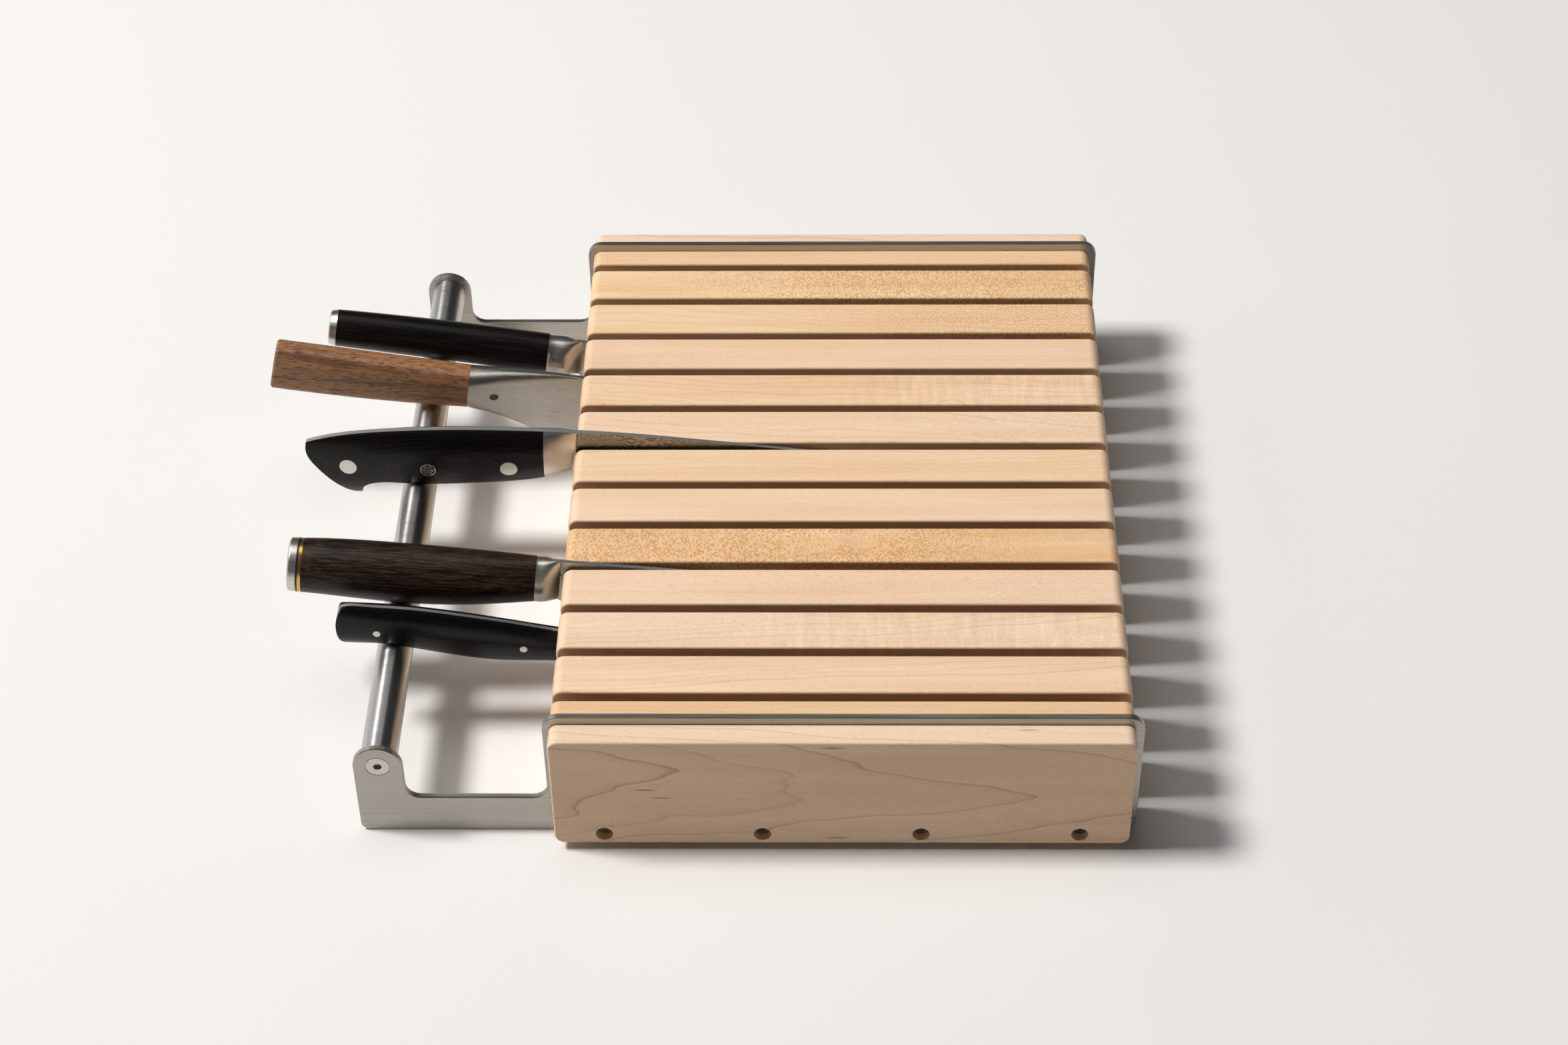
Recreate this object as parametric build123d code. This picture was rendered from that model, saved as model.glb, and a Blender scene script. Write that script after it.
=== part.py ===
from build123d import *
from math import cos, radians, sin
import os

# Countertop knife block: maple boards on edge, open slots between them, two steel side plates
# whose legs carry a round bar, and five knives whose handles lie over the bar.
# X runs along the slots (handles to the left, -X), Y across the boards (near board at -Y), Z up.
# While modelling, x = 0 is the left end of the boards and z = 0 the table. At the end everything
# is moved along X, so that the origin is the bottom centre of the whole object.

# ---- rack sizes (mm) ----
board_length = 280.0
board_height = 70.3
slat_thickness = 25.4
half_slat_thickness = 12.7
end_board_thickness = 12.7
full_slats = 11
slot_width = 5.4
board_corner_radius = 5.0
board_arris_radius = 1.2

plate_thickness = 3.2
plate_lip = 4.2            # the plates stand this far past the boards above, below and on the right
plate_left_lip = 3.2
plate_corner_radius = 8.0
plate_edge_break = 0.3
leg_height = 22.9
leg_fillet_radius = 7.5
toe_radius = 4.5
post_width = 24.0

bar_diameter = 18.0
bar_reach = 84.4           # from the boards' left ends out to the bar's axis
bar_drop = 29.8            # from the slats' tops down to the bar's axis
bar_bore_depth = 17.0
bar_end_break = 0.4

screw_diameter = 6.0
screw_length = 18.0
screw_head_diameter = 11.5
screw_socket_width = 4.0
screw_socket_depth = 1.9
screw_seat_relief = 0.35    # width and depth of the step cut round the head

rod_diameter = 6.0
rod_rows = 4
rod_margin = 24.5          # from the boards' ends in to the outer rods
rod_rise = 6.7             # from the boards' undersides up to the rods
rod_hole_clearance = 0.2
rod_grip = 3.0             # length of rod inside each end nut
end_hole_diameter = 8.5
end_hole_depth = 9.5
nut_diameter = 8.0
nut_length = 5.0
nut_socket_width = 4.0
spacer_diameter = 10.0

fit_gap = 0.02             # between pieces of one body that are pressed or glued together
rest_gap = 0.6             # between the bar and a handle that lies on it

# ---- knife sizes (mm), each in the knife's own frame: x = 0 where the spine reaches the boards,
# +x towards the tip, z = 0 along the spine at the handle. Tilt is tip-down, in degrees.
carver_slot = 10
carver_tilt = 8.85
carver_bar_gap = 7.8       # this handle stands clear of the bar
carver_blade_thickness = 2.0
carver_handle_start = -135.6
carver_handle_end = -20.0
carver_cap_length = 4.2
carver_bolster_end = -0.8

santoku_slot = 9
santoku_tilt = 8.5
santoku_blade_thickness = 2.2
santoku_handle_start = -166.0
santoku_handle_end = -60.5

chef_slot = 7
chef_tilt = 1.7
chef_blade_thickness = 2.6
chef_bolster_start = -15.8
chef_rivet_diameter = 9.1
chef_mosaic_diameter = 8.4

gyuto_slot = 4
gyuto_tilt = 6.5
gyuto_blade_thickness = 2.1
gyuto_cap_start = -137.0
gyuto_cap_length = 4.4
gyuto_black_ring_length = 1.1
gyuto_gold_ring_length = 1.6
gyuto_handle_end = -13.0

paring_slot = 3
paring_tilt = 10.0
paring_blade_thickness = 1.8
paring_handle_end = -0.8
paring_handle_lean = 2.6   # how far the handle's front end leans towards the tip at its foot
paring_rivet_diameter = 3.7

tang_height = 9.0
tang_thickness = 3.0
tang_length = 70.0
edge_thickness = 0.35

# ---- places worked out from the sizes ----
board_bottom = plate_lip
board_top = board_bottom + board_height
stack_ends = end_board_thickness + plate_thickness + half_slat_thickness
slot_count = full_slats + 1
depth = 2 * stack_ends + full_slats * slat_thickness + slot_count * slot_width
near_face = -depth / 2
slot_pitch = slat_thickness + slot_width
bar_height = board_top - bar_drop
bar_top = bar_height + bar_diameter / 2
rod_height = board_bottom + rod_rise
rod_hole_diameter = rod_diameter + 2 * rod_hole_clearance
rod_pitch = (board_length - 2 * rod_margin) / (rod_rows - 1)
rod_places = [rod_margin + rod_pitch * row for row in range(rod_rows)]


def slot_centre(slot):
    """Y of a slot's middle, counted from the near side."""
    return near_face + stack_ends + slot_width / 2 + (slot - 1) * slot_pitch


def rod_along_y(diameter, start, end, x, z):
    """Round bar along Y, from start to end."""
    middle = Location((x, (start + end) / 2, z), (90, 0, 0))
    return middle * Cylinder(diameter / 2, end - start)


def hexagon_along_y(width, start, end, x, z):
    """Hexagonal prism along Y, width across its flats."""
    outline = RegularPolygon(width / 2, 6, major_radius=False)
    prism = extrude(outline, (end - start) / 2, both=True)
    return Location((x, (start + end) / 2, z), (90, 0, 0)) * prism


# ---- rack ----
def board(start, thickness):
    """Maple board on edge: rounded ends, eased arrises, holes for the tie rods."""
    middle = Location((board_length / 2, start + thickness / 2, (board_bottom + board_top) / 2))
    block = Box(board_length, thickness, board_height)
    block = fillet(block.edges().filter_by(Axis.Y), board_corner_radius)
    faces = [block.faces().sort_by(Axis.Y)[0], block.faces().sort_by(Axis.Y)[-1]]
    block = fillet([edge for face in faces for edge in face.edges()], board_arris_radius)
    block = middle * block
    for x in rod_places:
        block -= rod_along_y(rod_hole_diameter, start - 1, start + thickness + 1, x, rod_height)
    return block


def end_board(near):
    """Outer board with wider holes, in which the rod end nuts sit."""
    start = near_face if near else -near_face - end_board_thickness
    block = board(start, end_board_thickness)
    outer = near_face if near else -near_face
    inner = outer + (end_hole_depth if near else -end_hole_depth)
    for x in rod_places:
        block -= rod_along_y(end_hole_diameter, min(outer, inner), max(outer, inner), x, rod_height)
    return block


def plate_outline():
    """Side plate in the XZ plane: panel, low leg and round-headed post."""
    post_left = -bar_reach - post_width / 2
    post_right = post_left + post_width
    panel_left = -plate_left_lip
    panel_right = board_length + plate_lip
    panel_top = board_top + plate_lip
    panel = Polyline(
        (post_left, bar_height), (post_left, 0), (panel_right, 0), (panel_right, panel_top),
        (panel_left, panel_top), (panel_left, leg_height), (post_right, leg_height),
        (post_right, bar_height), (post_left, bar_height))
    outline = make_face(panel) + Pos(-bar_reach, bar_height) * Circle(post_width / 2)

    def corners(x, z):
        return [v for v in outline.vertices() if abs(v.X - x) < 0.1 and abs(v.Y - z) < 0.1]

    outline = fillet(corners(post_right, leg_height) + corners(panel_left, leg_height), leg_fillet_radius)
    outline = fillet(corners(post_left, 0), toe_radius)
    outer = corners(panel_left, panel_top) + corners(panel_right, panel_top) + corners(panel_right, 0)
    return fillet(outer, plate_corner_radius)


def side_plate(near):
    """Steel plate between the end board and the inner half slat."""
    outer = near_face + end_board_thickness
    start = outer if near else -outer - plate_thickness
    standing = Plane(origin=(0, start + plate_thickness, 0), x_dir=(1, 0, 0), z_dir=(0, -1, 0))
    plate = extrude(standing * plate_outline(), plate_thickness)
    faces = [plate.faces().sort_by(Axis.Y)[0], plate.faces().sort_by(Axis.Y)[-1]]
    plate = chamfer([edge for face in faces for edge in face.edges()], plate_edge_break)
    for x in rod_places:
        plate -= rod_along_y(rod_hole_diameter, start - 1, start + plate_thickness + 1, x, rod_height)
    head = screw_head_diameter / 2 + screw_seat_relief
    face, step = (start, start + screw_seat_relief) if near else (-outer, -outer - screw_seat_relief)
    plate -= rod_along_y(2 * head, min(face, step), max(face, step), -bar_reach, bar_height)
    return plate - bar_screw_body(near, fit_gap)


def bar_screw_body(near, gap):
    """Countersunk screw without its socket, grown all round by gap."""
    radius = screw_diameter / 2 + gap
    head_radius = screw_head_diameter / 2 + gap
    profile = Polyline(
        (0, 0), (head_radius, 0), (radius, head_radius - radius), (radius, screw_length), (0, screw_length), (0, 0))
    solid = revolve(make_face(profile), Axis.Y)
    outer = near_face + end_board_thickness
    if near:
        return Location((-bar_reach, outer, bar_height)) * solid
    return Location((-bar_reach, -outer, bar_height), (180, 0, 0)) * solid


def bar_screw(near):
    """Countersunk screw with its hexagon socket."""
    outer = near_face + end_board_thickness
    face = outer if near else -outer
    bottom = face + (screw_socket_depth if near else -screw_socket_depth)
    socket = hexagon_along_y(screw_socket_width, min(face, bottom), max(face, bottom), -bar_reach, bar_height)
    return bar_screw_body(near, 0) - socket


def handle_rest_bar():
    """Round bar between the two posts, with a blind bore for a screw at each end."""
    start = near_face + end_board_thickness + plate_thickness
    bar = rod_along_y(bar_diameter, start, -start, -bar_reach, bar_height)
    bar = chamfer(bar.edges().filter_by(GeomType.CIRCLE), bar_end_break)
    bore = screw_diameter + 2 * fit_gap
    bar -= rod_along_y(bore, start, start + bar_bore_depth, -bar_reach, bar_height)
    return bar - rod_along_y(bore, -start - bar_bore_depth, -start, -bar_reach, bar_height)


def tie_rod(x):
    """Threaded rod through the whole stack, ending inside its two nuts."""
    start = near_face + end_hole_depth - rod_grip
    return rod_along_y(rod_diameter, start, -start, x, rod_height)


def rod_end_nut(x, near):
    """Round nut with a hexagon socket, at the bottom of an end board's hole."""
    seat = near_face + end_hole_depth
    bore = rod_diameter + 2 * fit_gap
    nut = rod_along_y(nut_diameter, seat - nut_length, seat, x, rod_height)
    nut -= rod_along_y(bore, seat - rod_grip, seat, x, rod_height)
    nut -= hexagon_along_y(nut_socket_width, seat - nut_length, seat - rod_grip, x, rod_height)
    return nut if near else mirror(nut, Plane.XZ)


def slot_spacer(slot, x):
    """Sleeve on a tie rod that keeps a slot open."""
    start = slot_centre(slot) - slot_width / 2
    sleeve = rod_along_y(spacer_diameter, start, start + slot_width, x, rod_height)
    return sleeve - rod_along_y(rod_hole_diameter, start, start + slot_width, x, rod_height)


# ---- knives: shared shapes ----
def knife_place(slot, tilt, handle_depth, gap=rest_gap):
    """Where a knife's frame goes: in its slot, tilted, handle over the bar by gap.
    handle_depth is how far the handle's underside lies below the spine above the bar."""
    slope = radians(tilt)
    height = bar_top + gap + handle_depth * cos(slope) - bar_reach * sin(slope)
    return Location((0, slot_centre(slot), height), (0, tilt, 0))


def outline_face(*edges):
    """Face in the XZ plane inside a closed run of edges drawn as (x, z)."""
    face = make_face(edges)
    return Plane(origin=(0, 0, 0), x_dir=(1, 0, 0), z_dir=(0, -1, 0)) * face


def slab(face, thickness):
    """Face in the XZ plane thickened to both sides."""
    return extrude(face, thickness / 2, both=True)


def ground_blade(face, thickness, heel, tip, height):
    """Blade blank ground to a wedge: thick at the spine, thin at the edge, thinner to the tip."""
    sections = []
    for x, share in ((heel, 1.0), (tip, 0.55)):
        top = thickness * share / 2
        low = edge_thickness / 2
        wedge = Polyline((-top, 2), (top, 2), (top, -2), (low, -height), (-low, -height), (-top, -2), (-top, 2))
        sections.append(Plane(origin=(x, 0, 0), x_dir=(0, 1, 0), z_dir=(1, 0, 0)) * make_face(wedge))
    return slab(face, thickness) & loft(sections, ruled=True)


def handle_section(x, middle, half_height, half_width, ridge=0.0):
    """Oval across a handle at x. ridge pushes the near side out into a blunt D-shaped ridge."""
    points = []
    for step in range(8):
        angle = radians(45 * step)
        reach = 1 + ridge if step == 6 else 1 - ridge / 3
        points.append((half_width * sin(angle) * reach, half_height * cos(angle)))
    across = Plane(origin=(x, 0, middle), x_dir=(0, 1, 0), z_dir=(1, 0, 0))
    return across * make_face(Spline(points, periodic=True))


def tang(start, end, middle, gap=0.0):
    """Flat bar inside a handle, or with a gap its pocket."""
    size = (end - start + gap, tang_thickness + 2 * gap, tang_height + 2 * gap)
    return Pos((start + end - gap) / 2, 0, middle) * Box(*size)


def pin_through(x, z, diameter, body):
    """Rivet along Y whose two heads follow the surface of the handle it goes through."""
    return rod_along_y(diameter, -20, 20, x, z) & body


# ---- carving knife ----
def carver_blade():
    spine = Spline((-5, 0), (60, 0), (130, -0.4), (175, -4), (206, -15))
    edge = Spline((206, -15), (190, -21.5), (150, -28.3), (90, -31.5), (10, -32))
    heel = Spline((10, -32), (4, -29.5), (-1, -24), (-5, -22.5))
    face = outline_face(spine, edge, heel, Line((-5, -22.5), (-5, 0)))
    blade = ground_blade(face, carver_blade_thickness, -5, 206, 34)
    return blade + tang(carver_handle_end - tang_length, 0, -11.3)


def carver_bolster():
    start = carver_handle_end
    sections = [
        handle_section(start, -11.3, 11.5, 10.2, 0.06),
        handle_section(-13, -11.5, 11.55, 10.2, 0.06),
        handle_section(-9.5, -11.6, 11.6, 9.6, 0.05),
        handle_section(-6.5, -11.8, 11.65, 7.4, 0.03),
        handle_section(-3.8, -11.9, 11.7, 4.2, 0.01),
        handle_section(carver_bolster_end, -12.0, 11.8, 1.4)]
    pocket = tang(start - fit_gap, 0, -11.3, fit_gap) + carver_blade_pocket()
    return loft(sections) - pocket


def carver_blade_pocket():
    return Pos(-2.5, 0, -11.25) * Box(5.1, carver_blade_thickness + 2 * fit_gap, 26)


def carver_handle():
    sections = [
        handle_section(carver_handle_start, -11.15, 10.5, 9.5, 0.06),
        handle_section(-90, -10.9, 11.3, 10.2, 0.06),
        handle_section(carver_handle_end, -11.3, 11.5, 10.2, 0.06)]
    return loft(sections) - tang(carver_handle_end - tang_length, 0, -11.3, fit_gap)


def carver_end_cap():
    end = carver_handle_start
    sections = [
        handle_section(end - carver_cap_length, -11.3, 9.6, 8.6, 0.06),
        handle_section(end, -11.15, 10.5, 9.5, 0.06)]
    cap = loft(sections)
    rim = cap.faces().sort_by(Axis.X)[0].edges()
    return fillet(rim, 1.2)


# ---- santoku ----
def santoku_block_section(x, middle, half_height, half_width, lean=0.0):
    """Rounded rectangle across the handle; lean tips its top towards the blade."""
    outline = RectangleRounded(2 * half_width, 2 * half_height, half_width - 1)
    return Plane(origin=(x, 0, middle), x_dir=(0, 1, 0), z_dir=(1, 0, -lean)) * outline


def santoku_neck_section(x, top, bottom, top_width, bottom_width):
    """Section of the neck: round along the top, drawn down to a thinner lower edge."""
    waist = (top + bottom) / 2
    side = [(0.8 * top_width, top - 0.35 * top_width), (top_width, top - 1.2 * top_width),
            ((top_width + bottom_width) / 2, waist), (bottom_width, bottom + 1.2 * bottom_width),
            (0.75 * bottom_width, bottom + 0.3 * bottom_width)]
    points = [(0, top), *side, (0, bottom), *[(-y, z) for y, z in reversed(side)]]
    across = Plane(origin=(x, 0, 0), x_dir=(0, 1, 0), z_dir=(1, 0, 0))
    return across * make_face(Spline(points, periodic=True))


def santoku_blade():
    """Blade forged in one piece with the neck that the wooden handle meets."""
    start = santoku_handle_end
    spine = Spline((start + 2, -4), (-40, -0.8), (0, 0), (60, 0), (120, -1.6), (147, -12), (157, -28))
    edge = Spline((157, -28), (140, -33), (101, -38.2), (50, -41.8), (-11, -44))
    heel = Spline((-11, -44), (-15, -43), (-22, -40.3), (-38, -34.2), (-50, -30.4), (start + 2, -26))
    face = outline_face(spine, edge, heel, Line((start + 2, -26), (start + 2, -4)))
    blade = ground_blade(face, santoku_blade_thickness, start, 157, 46)
    neck = loft([
        santoku_neck_section(start, -2.95, -27.15, 8.0, 7.6),
        santoku_neck_section(-50, -1.9, -30.2, 6.4, 4.4),
        santoku_neck_section(-38, -0.9, -34.0, 4.8, 2.2),
        santoku_neck_section(-22, -0.2, -40.0, 3.0, 0.9),
        santoku_neck_section(-8, -0.1, -42.6, 1.6, 0.3),
        santoku_neck_section(6, -0.2, -41.0, 1.05, 0.15)])
    return blade + neck + tang(start - tang_length, start + 4, -15.05)


def santoku_handle():
    """Rounded walnut block, a little slimmer at the neck."""
    wood = loft([
        santoku_block_section(santoku_handle_start, -14.7, 13.9, 9.2, 0.08),
        santoku_block_section(-110, -15.5, 13.5, 9.0),
        santoku_block_section(santoku_handle_end, -15.05, 12.1, 8.0)])
    butt = wood.faces().sort_by(Axis.X)[0].edges()
    wood = fillet(butt, 1.6)
    return wood - tang(santoku_handle_end - tang_length, santoku_handle_end, -15.05, fit_gap)


# ---- chef's knife ----
def chef_handle_face():
    """Side outline of the handle and its tang, with the hooked butt."""
    start = chef_bolster_start
    top = Spline((-141, -9.8), (-127, -5.6), (-98, -1.3), (-56, 1.1), (start, 1.1))
    front = Line((start, 1.1), (start, -27.1))
    belly = Spline((start, -27.1), (-43, -31.6), (-66, -32.8), (-90, -31.5), (-104, -31.4), (-110.4, -34.2),
                   (-113, -40.6))
    hook = Spline((-113, -40.6), (-115.2, -41.3), (-122, -38), (-134.6, -25.5), (-141.2, -15.2), (-141, -9.8))
    return outline_face(top, front, belly, hook)


def chef_bolster_face():
    start = chef_bolster_start
    return outline_face(
        Line((start, 1.1), (1.5, 0.4)), Line((1.5, 0.4), (-1.6, -24.3)),
        Line((-1.6, -24.3), (start, -27.1)), Line((start, -27.1), (start, 1.1)))


def chef_handle_envelope():
    """Rounded body that gives the scales their swell."""
    return loft([
        handle_section(-143, -22.8, 13.2, 3.4), handle_section(-120, -23.7, 20.3, 7.4),
        handle_section(-95, -21.1, 20.9, 8.7), handle_section(-70, -18.3, 19.7, 8.9),
        handle_section(-45, -16.8, 18.7, 8.6), handle_section(chef_bolster_start, -14.6, 16.4, 8.0)])


def chef_body():
    return slab(chef_handle_face(), 20) & chef_handle_envelope()


def chef_rivet_places():
    return [(-119, -21.3), (-34.3, -19.5)]


def chef_mosaic_place():
    return (-76.8, -21.0)


def chef_pin_holes():
    """Cylinders that clear the rivets and the mosaic pin."""
    holes = rod_along_y(chef_mosaic_diameter + 2 * fit_gap, -20, 20, *chef_mosaic_place())
    for x, z in chef_rivet_places():
        holes += rod_along_y(chef_rivet_diameter + 2 * fit_gap, -20, 20, x, z)
    return holes


def chef_blade():
    """Blade and full tang in one piece; the tang shows all round the handle."""
    spine = Spline((0, 0.5), (30, -0.9), (70, -4.2), (118, -8.6), (165, -15.5), (206, -28))
    edge = Spline((206, -28), (182, -38), (140, -46.5), (100, -49.5), (50, -50.5), (6, -50.2))
    heel = Spline((6, -50.2), (3.5, -48.6), (2.4, -40), (0, -26))
    face = outline_face(spine, edge, heel, Line((0, -26), (0, 0.5)))
    blade = ground_blade(face, chef_blade_thickness, 0, 206, 52)
    strip = slab(chef_handle_face(), chef_blade_thickness) + slab(chef_bolster_face(), chef_blade_thickness)
    joint = slab(outline_face(Polyline((-2, 0.4), (1.5, 0.4), (1.5, -24), (-2, -24), (-2, 0.4))), chef_blade_thickness)
    return blade + strip + joint - chef_pin_holes()


def chef_bolster():
    body = slab(chef_bolster_face(), 20) & loft([
        handle_section(chef_bolster_start, -14.6, 16.4, 8.0),
        handle_section(-8, -13.2, 15.6, 6.1),
        handle_section(2, -12, 14.6, 1.9)])
    return body - slab(outline_face(Rectangle(80, 160).edges()), chef_blade_thickness + 2 * fit_gap)


def chef_scale(near):
    gap = chef_blade_thickness / 2 + fit_gap
    side = Pos(-80, -(gap + 10) if near else gap + 10, -20) * Box(200, 20, 80)
    return (chef_body() & side) - chef_pin_holes()


def chef_rivets():
    body = chef_body()
    return [pin_through(x, z, chef_rivet_diameter, body) for x, z in chef_rivet_places()]


def chef_mosaic_pin():
    return pin_through(*chef_mosaic_place(), chef_mosaic_diameter, chef_body())


# ---- gyuto ----
def gyuto_blade():
    spine = Spline((-6, 0), (40, 0), (110, -0.6), (165, -8), (212, -24))
    edge = Spline((212, -24), (192, -33.5), (155, -42), (105, -45.8), (50, -46.5), (13, -46.3))
    heel = Spline((13, -46.3), (9, -44.5), (6, -36), (0, -27), (-6, -25.5))
    face = outline_face(spine, edge, heel, Line((-6, -25.5), (-6, 0)))
    blade = ground_blade(face, gyuto_blade_thickness, -6, 212, 48)
    return blade + tang(gyuto_handle_end - tang_length, 0, -13.7)


def gyuto_bolster():
    sections = [
        handle_section(gyuto_handle_end, -13.7, 13.4, 9.6, 0.05),
        handle_section(-9, -13.65, 13.45, 9.4, 0.05),
        handle_section(-6.5, -13.6, 13.5, 8.2, 0.03),
        handle_section(-4.5, -13.6, 13.5, 6.2, 0.02),
        handle_section(-2.6, -13.5, 13.5, 3.7, 0.01),
        handle_section(-0.8, -13.5, 13.5, 1.5)]
    slot = Pos(-3, 0, -13) * Box(6.1, gyuto_blade_thickness + 2 * fit_gap, 40)
    return loft(sections) - tang(gyuto_handle_end - fit_gap, 0, -13.7, fit_gap) - slot


def gyuto_oval(x):
    """Section of the gyuto's tapering butt, where its cap and rings are."""
    grown = (x - gyuto_cap_start) / 30
    return handle_section(x, -17.6, 14.3 + 0.6 * grown, 13.0 + 0.6 * grown, 0.05)


def gyuto_handle():
    start = gyuto_cap_start + gyuto_cap_length + gyuto_black_ring_length + gyuto_gold_ring_length
    wood = loft([
        gyuto_oval(start),
        handle_section(-96, -17.3, 15.6, 14.4, 0.05),
        handle_section(-60, -17.0, 15.5, 14.2, 0.05),
        handle_section(-32, -15.3, 14.3, 12.2, 0.05),
        handle_section(gyuto_handle_end, -13.7, 13.4, 9.6, 0.05)])
    return wood - tang(gyuto_handle_end - tang_length, 0, -13.7, fit_gap)


def gyuto_ring(start, length):
    return loft([gyuto_oval(start), gyuto_oval(start + length)])


def gyuto_end_cap():
    cap = gyuto_ring(gyuto_cap_start, gyuto_cap_length)
    return fillet(cap.faces().sort_by(Axis.X)[0].edges(), 1.5)


# ---- paring knife ----
def paring_handle_face():
    """Side outline of the handle: bowed top, beaked butt."""
    end = paring_handle_end
    foot = end + paring_handle_lean
    top = Spline((-109.4, -2.2), (-106.5, -0.8), (-100, 0), (-80.5, 1.6), (-54, 2.1), (-27, 1.5), (end, 0))
    front = Line((end, 0), (foot, -16.1))
    belly = Spline((foot, -16.1), (-18.3, -18.5), (-31.5, -20.6), (-44.9, -21.0), (-66, -19.9), (-85, -19.2),
                   (-92, -20.2), (-99, -22.6), (-104.3, -24.4))
    butt = Spline((-104.3, -24.4), (-106.8, -23), (-109.3, -18.7), (-110.8, -13), (-110.9, -6.4), (-109.4, -2.2))
    return outline_face(top, front, belly, butt)


def paring_body():
    envelope = loft([
        handle_section(-112, -13.8, 13.4, 5.6), handle_section(-85, -11, 13.1, 7.0),
        handle_section(-45, -11.4, 14.3, 7.2),
        handle_section(paring_handle_end + paring_handle_lean, -9.7, 10.5, 6.4)])
    return slab(paring_handle_face(), 16) & envelope


def paring_rivet_places():
    return [(-90.4, -12.0), (-17.2, -10.0)]


def paring_pin_holes():
    holes = [rod_along_y(paring_rivet_diameter + 2 * fit_gap, -20, 20, x, z) for x, z in paring_rivet_places()]
    return holes[0] + holes[1]


def paring_blade():
    start = paring_handle_end
    foot = start + paring_handle_lean
    spine = Spline((start, 0), (30, -0.8), (62, -3.6), (86, -12))
    edge = Spline((86, -12), (70, -16.2), (40, -18.6), (foot + 1, -18.8))
    face = outline_face(spine, edge, Line((foot + 1, -18.8), (foot, -16.1)), Line((foot, -16.1), (start, 0)))
    blade = ground_blade(face, paring_blade_thickness, start, 86, 20)
    strip = slab(paring_handle_face(), paring_blade_thickness)
    bridge = Pos(start, 0, -7.5) * Box(2, paring_blade_thickness, 13)
    return blade + strip + bridge - paring_pin_holes()


def paring_scale(near):
    gap = paring_blade_thickness / 2 + fit_gap
    side = Pos(-60, -(gap + 10) if near else gap + 10, -10) * Box(150, 20, 60)
    return (paring_body() & side) - paring_pin_holes()


def paring_rivets():
    body = paring_body()
    return [pin_through(x, z, paring_rivet_diameter, body) for x, z in paring_rivet_places()]


# ---- assembly ----
def rack_pieces():
    pieces = {
        "near_end_board": end_board(near=True),
        "far_end_board": end_board(near=False),
        "near_side_plate": side_plate(near=True),
        "far_side_plate": side_plate(near=False)}
    inner = near_face + end_board_thickness + plate_thickness
    pieces["near_half_slat"] = board(inner, half_slat_thickness)
    pieces["far_half_slat"] = board(-inner - half_slat_thickness, half_slat_thickness)
    for slat in range(1, full_slats + 1):
        pieces[f"slat_{slat:02d}"] = board(slot_centre(slat) + slot_width / 2, slat_thickness)
    pieces["handle_rest_bar"] = handle_rest_bar()
    pieces["bar_screws"] = Compound([bar_screw(True), bar_screw(False)])
    for row, x in enumerate(rod_places, start=1):
        pieces[f"tie_rod_{row}"] = tie_rod(x)
        sleeves = [slot_spacer(slot, x) for slot in range(1, slot_count + 1)]
        pieces[f"slot_spacers_{row}"] = Compound(sleeves)
    pieces["rod_end_nuts"] = Compound([rod_end_nut(x, near) for x in rod_places for near in (True, False)])
    return pieces


def knife_pieces():
    """Each knife's pieces, set in its slot."""
    black_ring = gyuto_cap_start + gyuto_cap_length
    gold_ring = black_ring + gyuto_black_ring_length
    knives = [
        (knife_place(carver_slot, carver_tilt, 22.3, carver_bar_gap), {
            "carving_blade": carver_blade(), "carving_bolster": carver_bolster(),
            "carving_handle": carver_handle(), "carving_end_cap": carver_end_cap()}),
        (knife_place(santoku_slot, santoku_tilt, 29.0), {
            "santoku_blade": santoku_blade(), "santoku_handle": santoku_handle()}),
        (knife_place(chef_slot, chef_tilt, 32.0), {
            "chef_blade": chef_blade(), "chef_bolster": chef_bolster(),
            "chef_near_scale": chef_scale(near=True), "chef_far_scale": chef_scale(near=False),
            "chef_rivets": Compound(chef_rivets()), "chef_mosaic_pin": chef_mosaic_pin()}),
        (knife_place(gyuto_slot, gyuto_tilt, 33.0), {
            "gyuto_blade": gyuto_blade(), "gyuto_bolster": gyuto_bolster(), "gyuto_handle": gyuto_handle(),
            "gyuto_black_ring": gyuto_ring(black_ring, gyuto_black_ring_length),
            "gyuto_gold_ring": gyuto_ring(gold_ring, gyuto_gold_ring_length),
            "gyuto_end_cap": gyuto_end_cap()}),
        (knife_place(paring_slot, paring_tilt, 19.4), {
            "paring_blade": paring_blade(), "paring_near_scale": paring_scale(near=True),
            "paring_far_scale": paring_scale(near=False), "paring_rivets": Compound(paring_rivets())})]
    return {name: place * shape for place, pieces in knives for name, shape in pieces.items()}


pieces = rack_pieces() | knife_pieces()
whole = Compound([Compound(list(shape.solids())) for shape in pieces.values()]).bounding_box()
to_origin = Pos(-whole.center().X, 0, 0)
os.makedirs("parts", exist_ok=True)
for name, shape in pieces.items():
    solids = shape.solids()
    moved = [to_origin * solid for solid in solids]
    export_step(moved[0] if len(moved) == 1 else Compound(moved), f"parts/{name}.step")
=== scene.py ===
from math import cos, radians, sin

import bmesh
import bpy
from mathutils import Matrix, Vector


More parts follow.
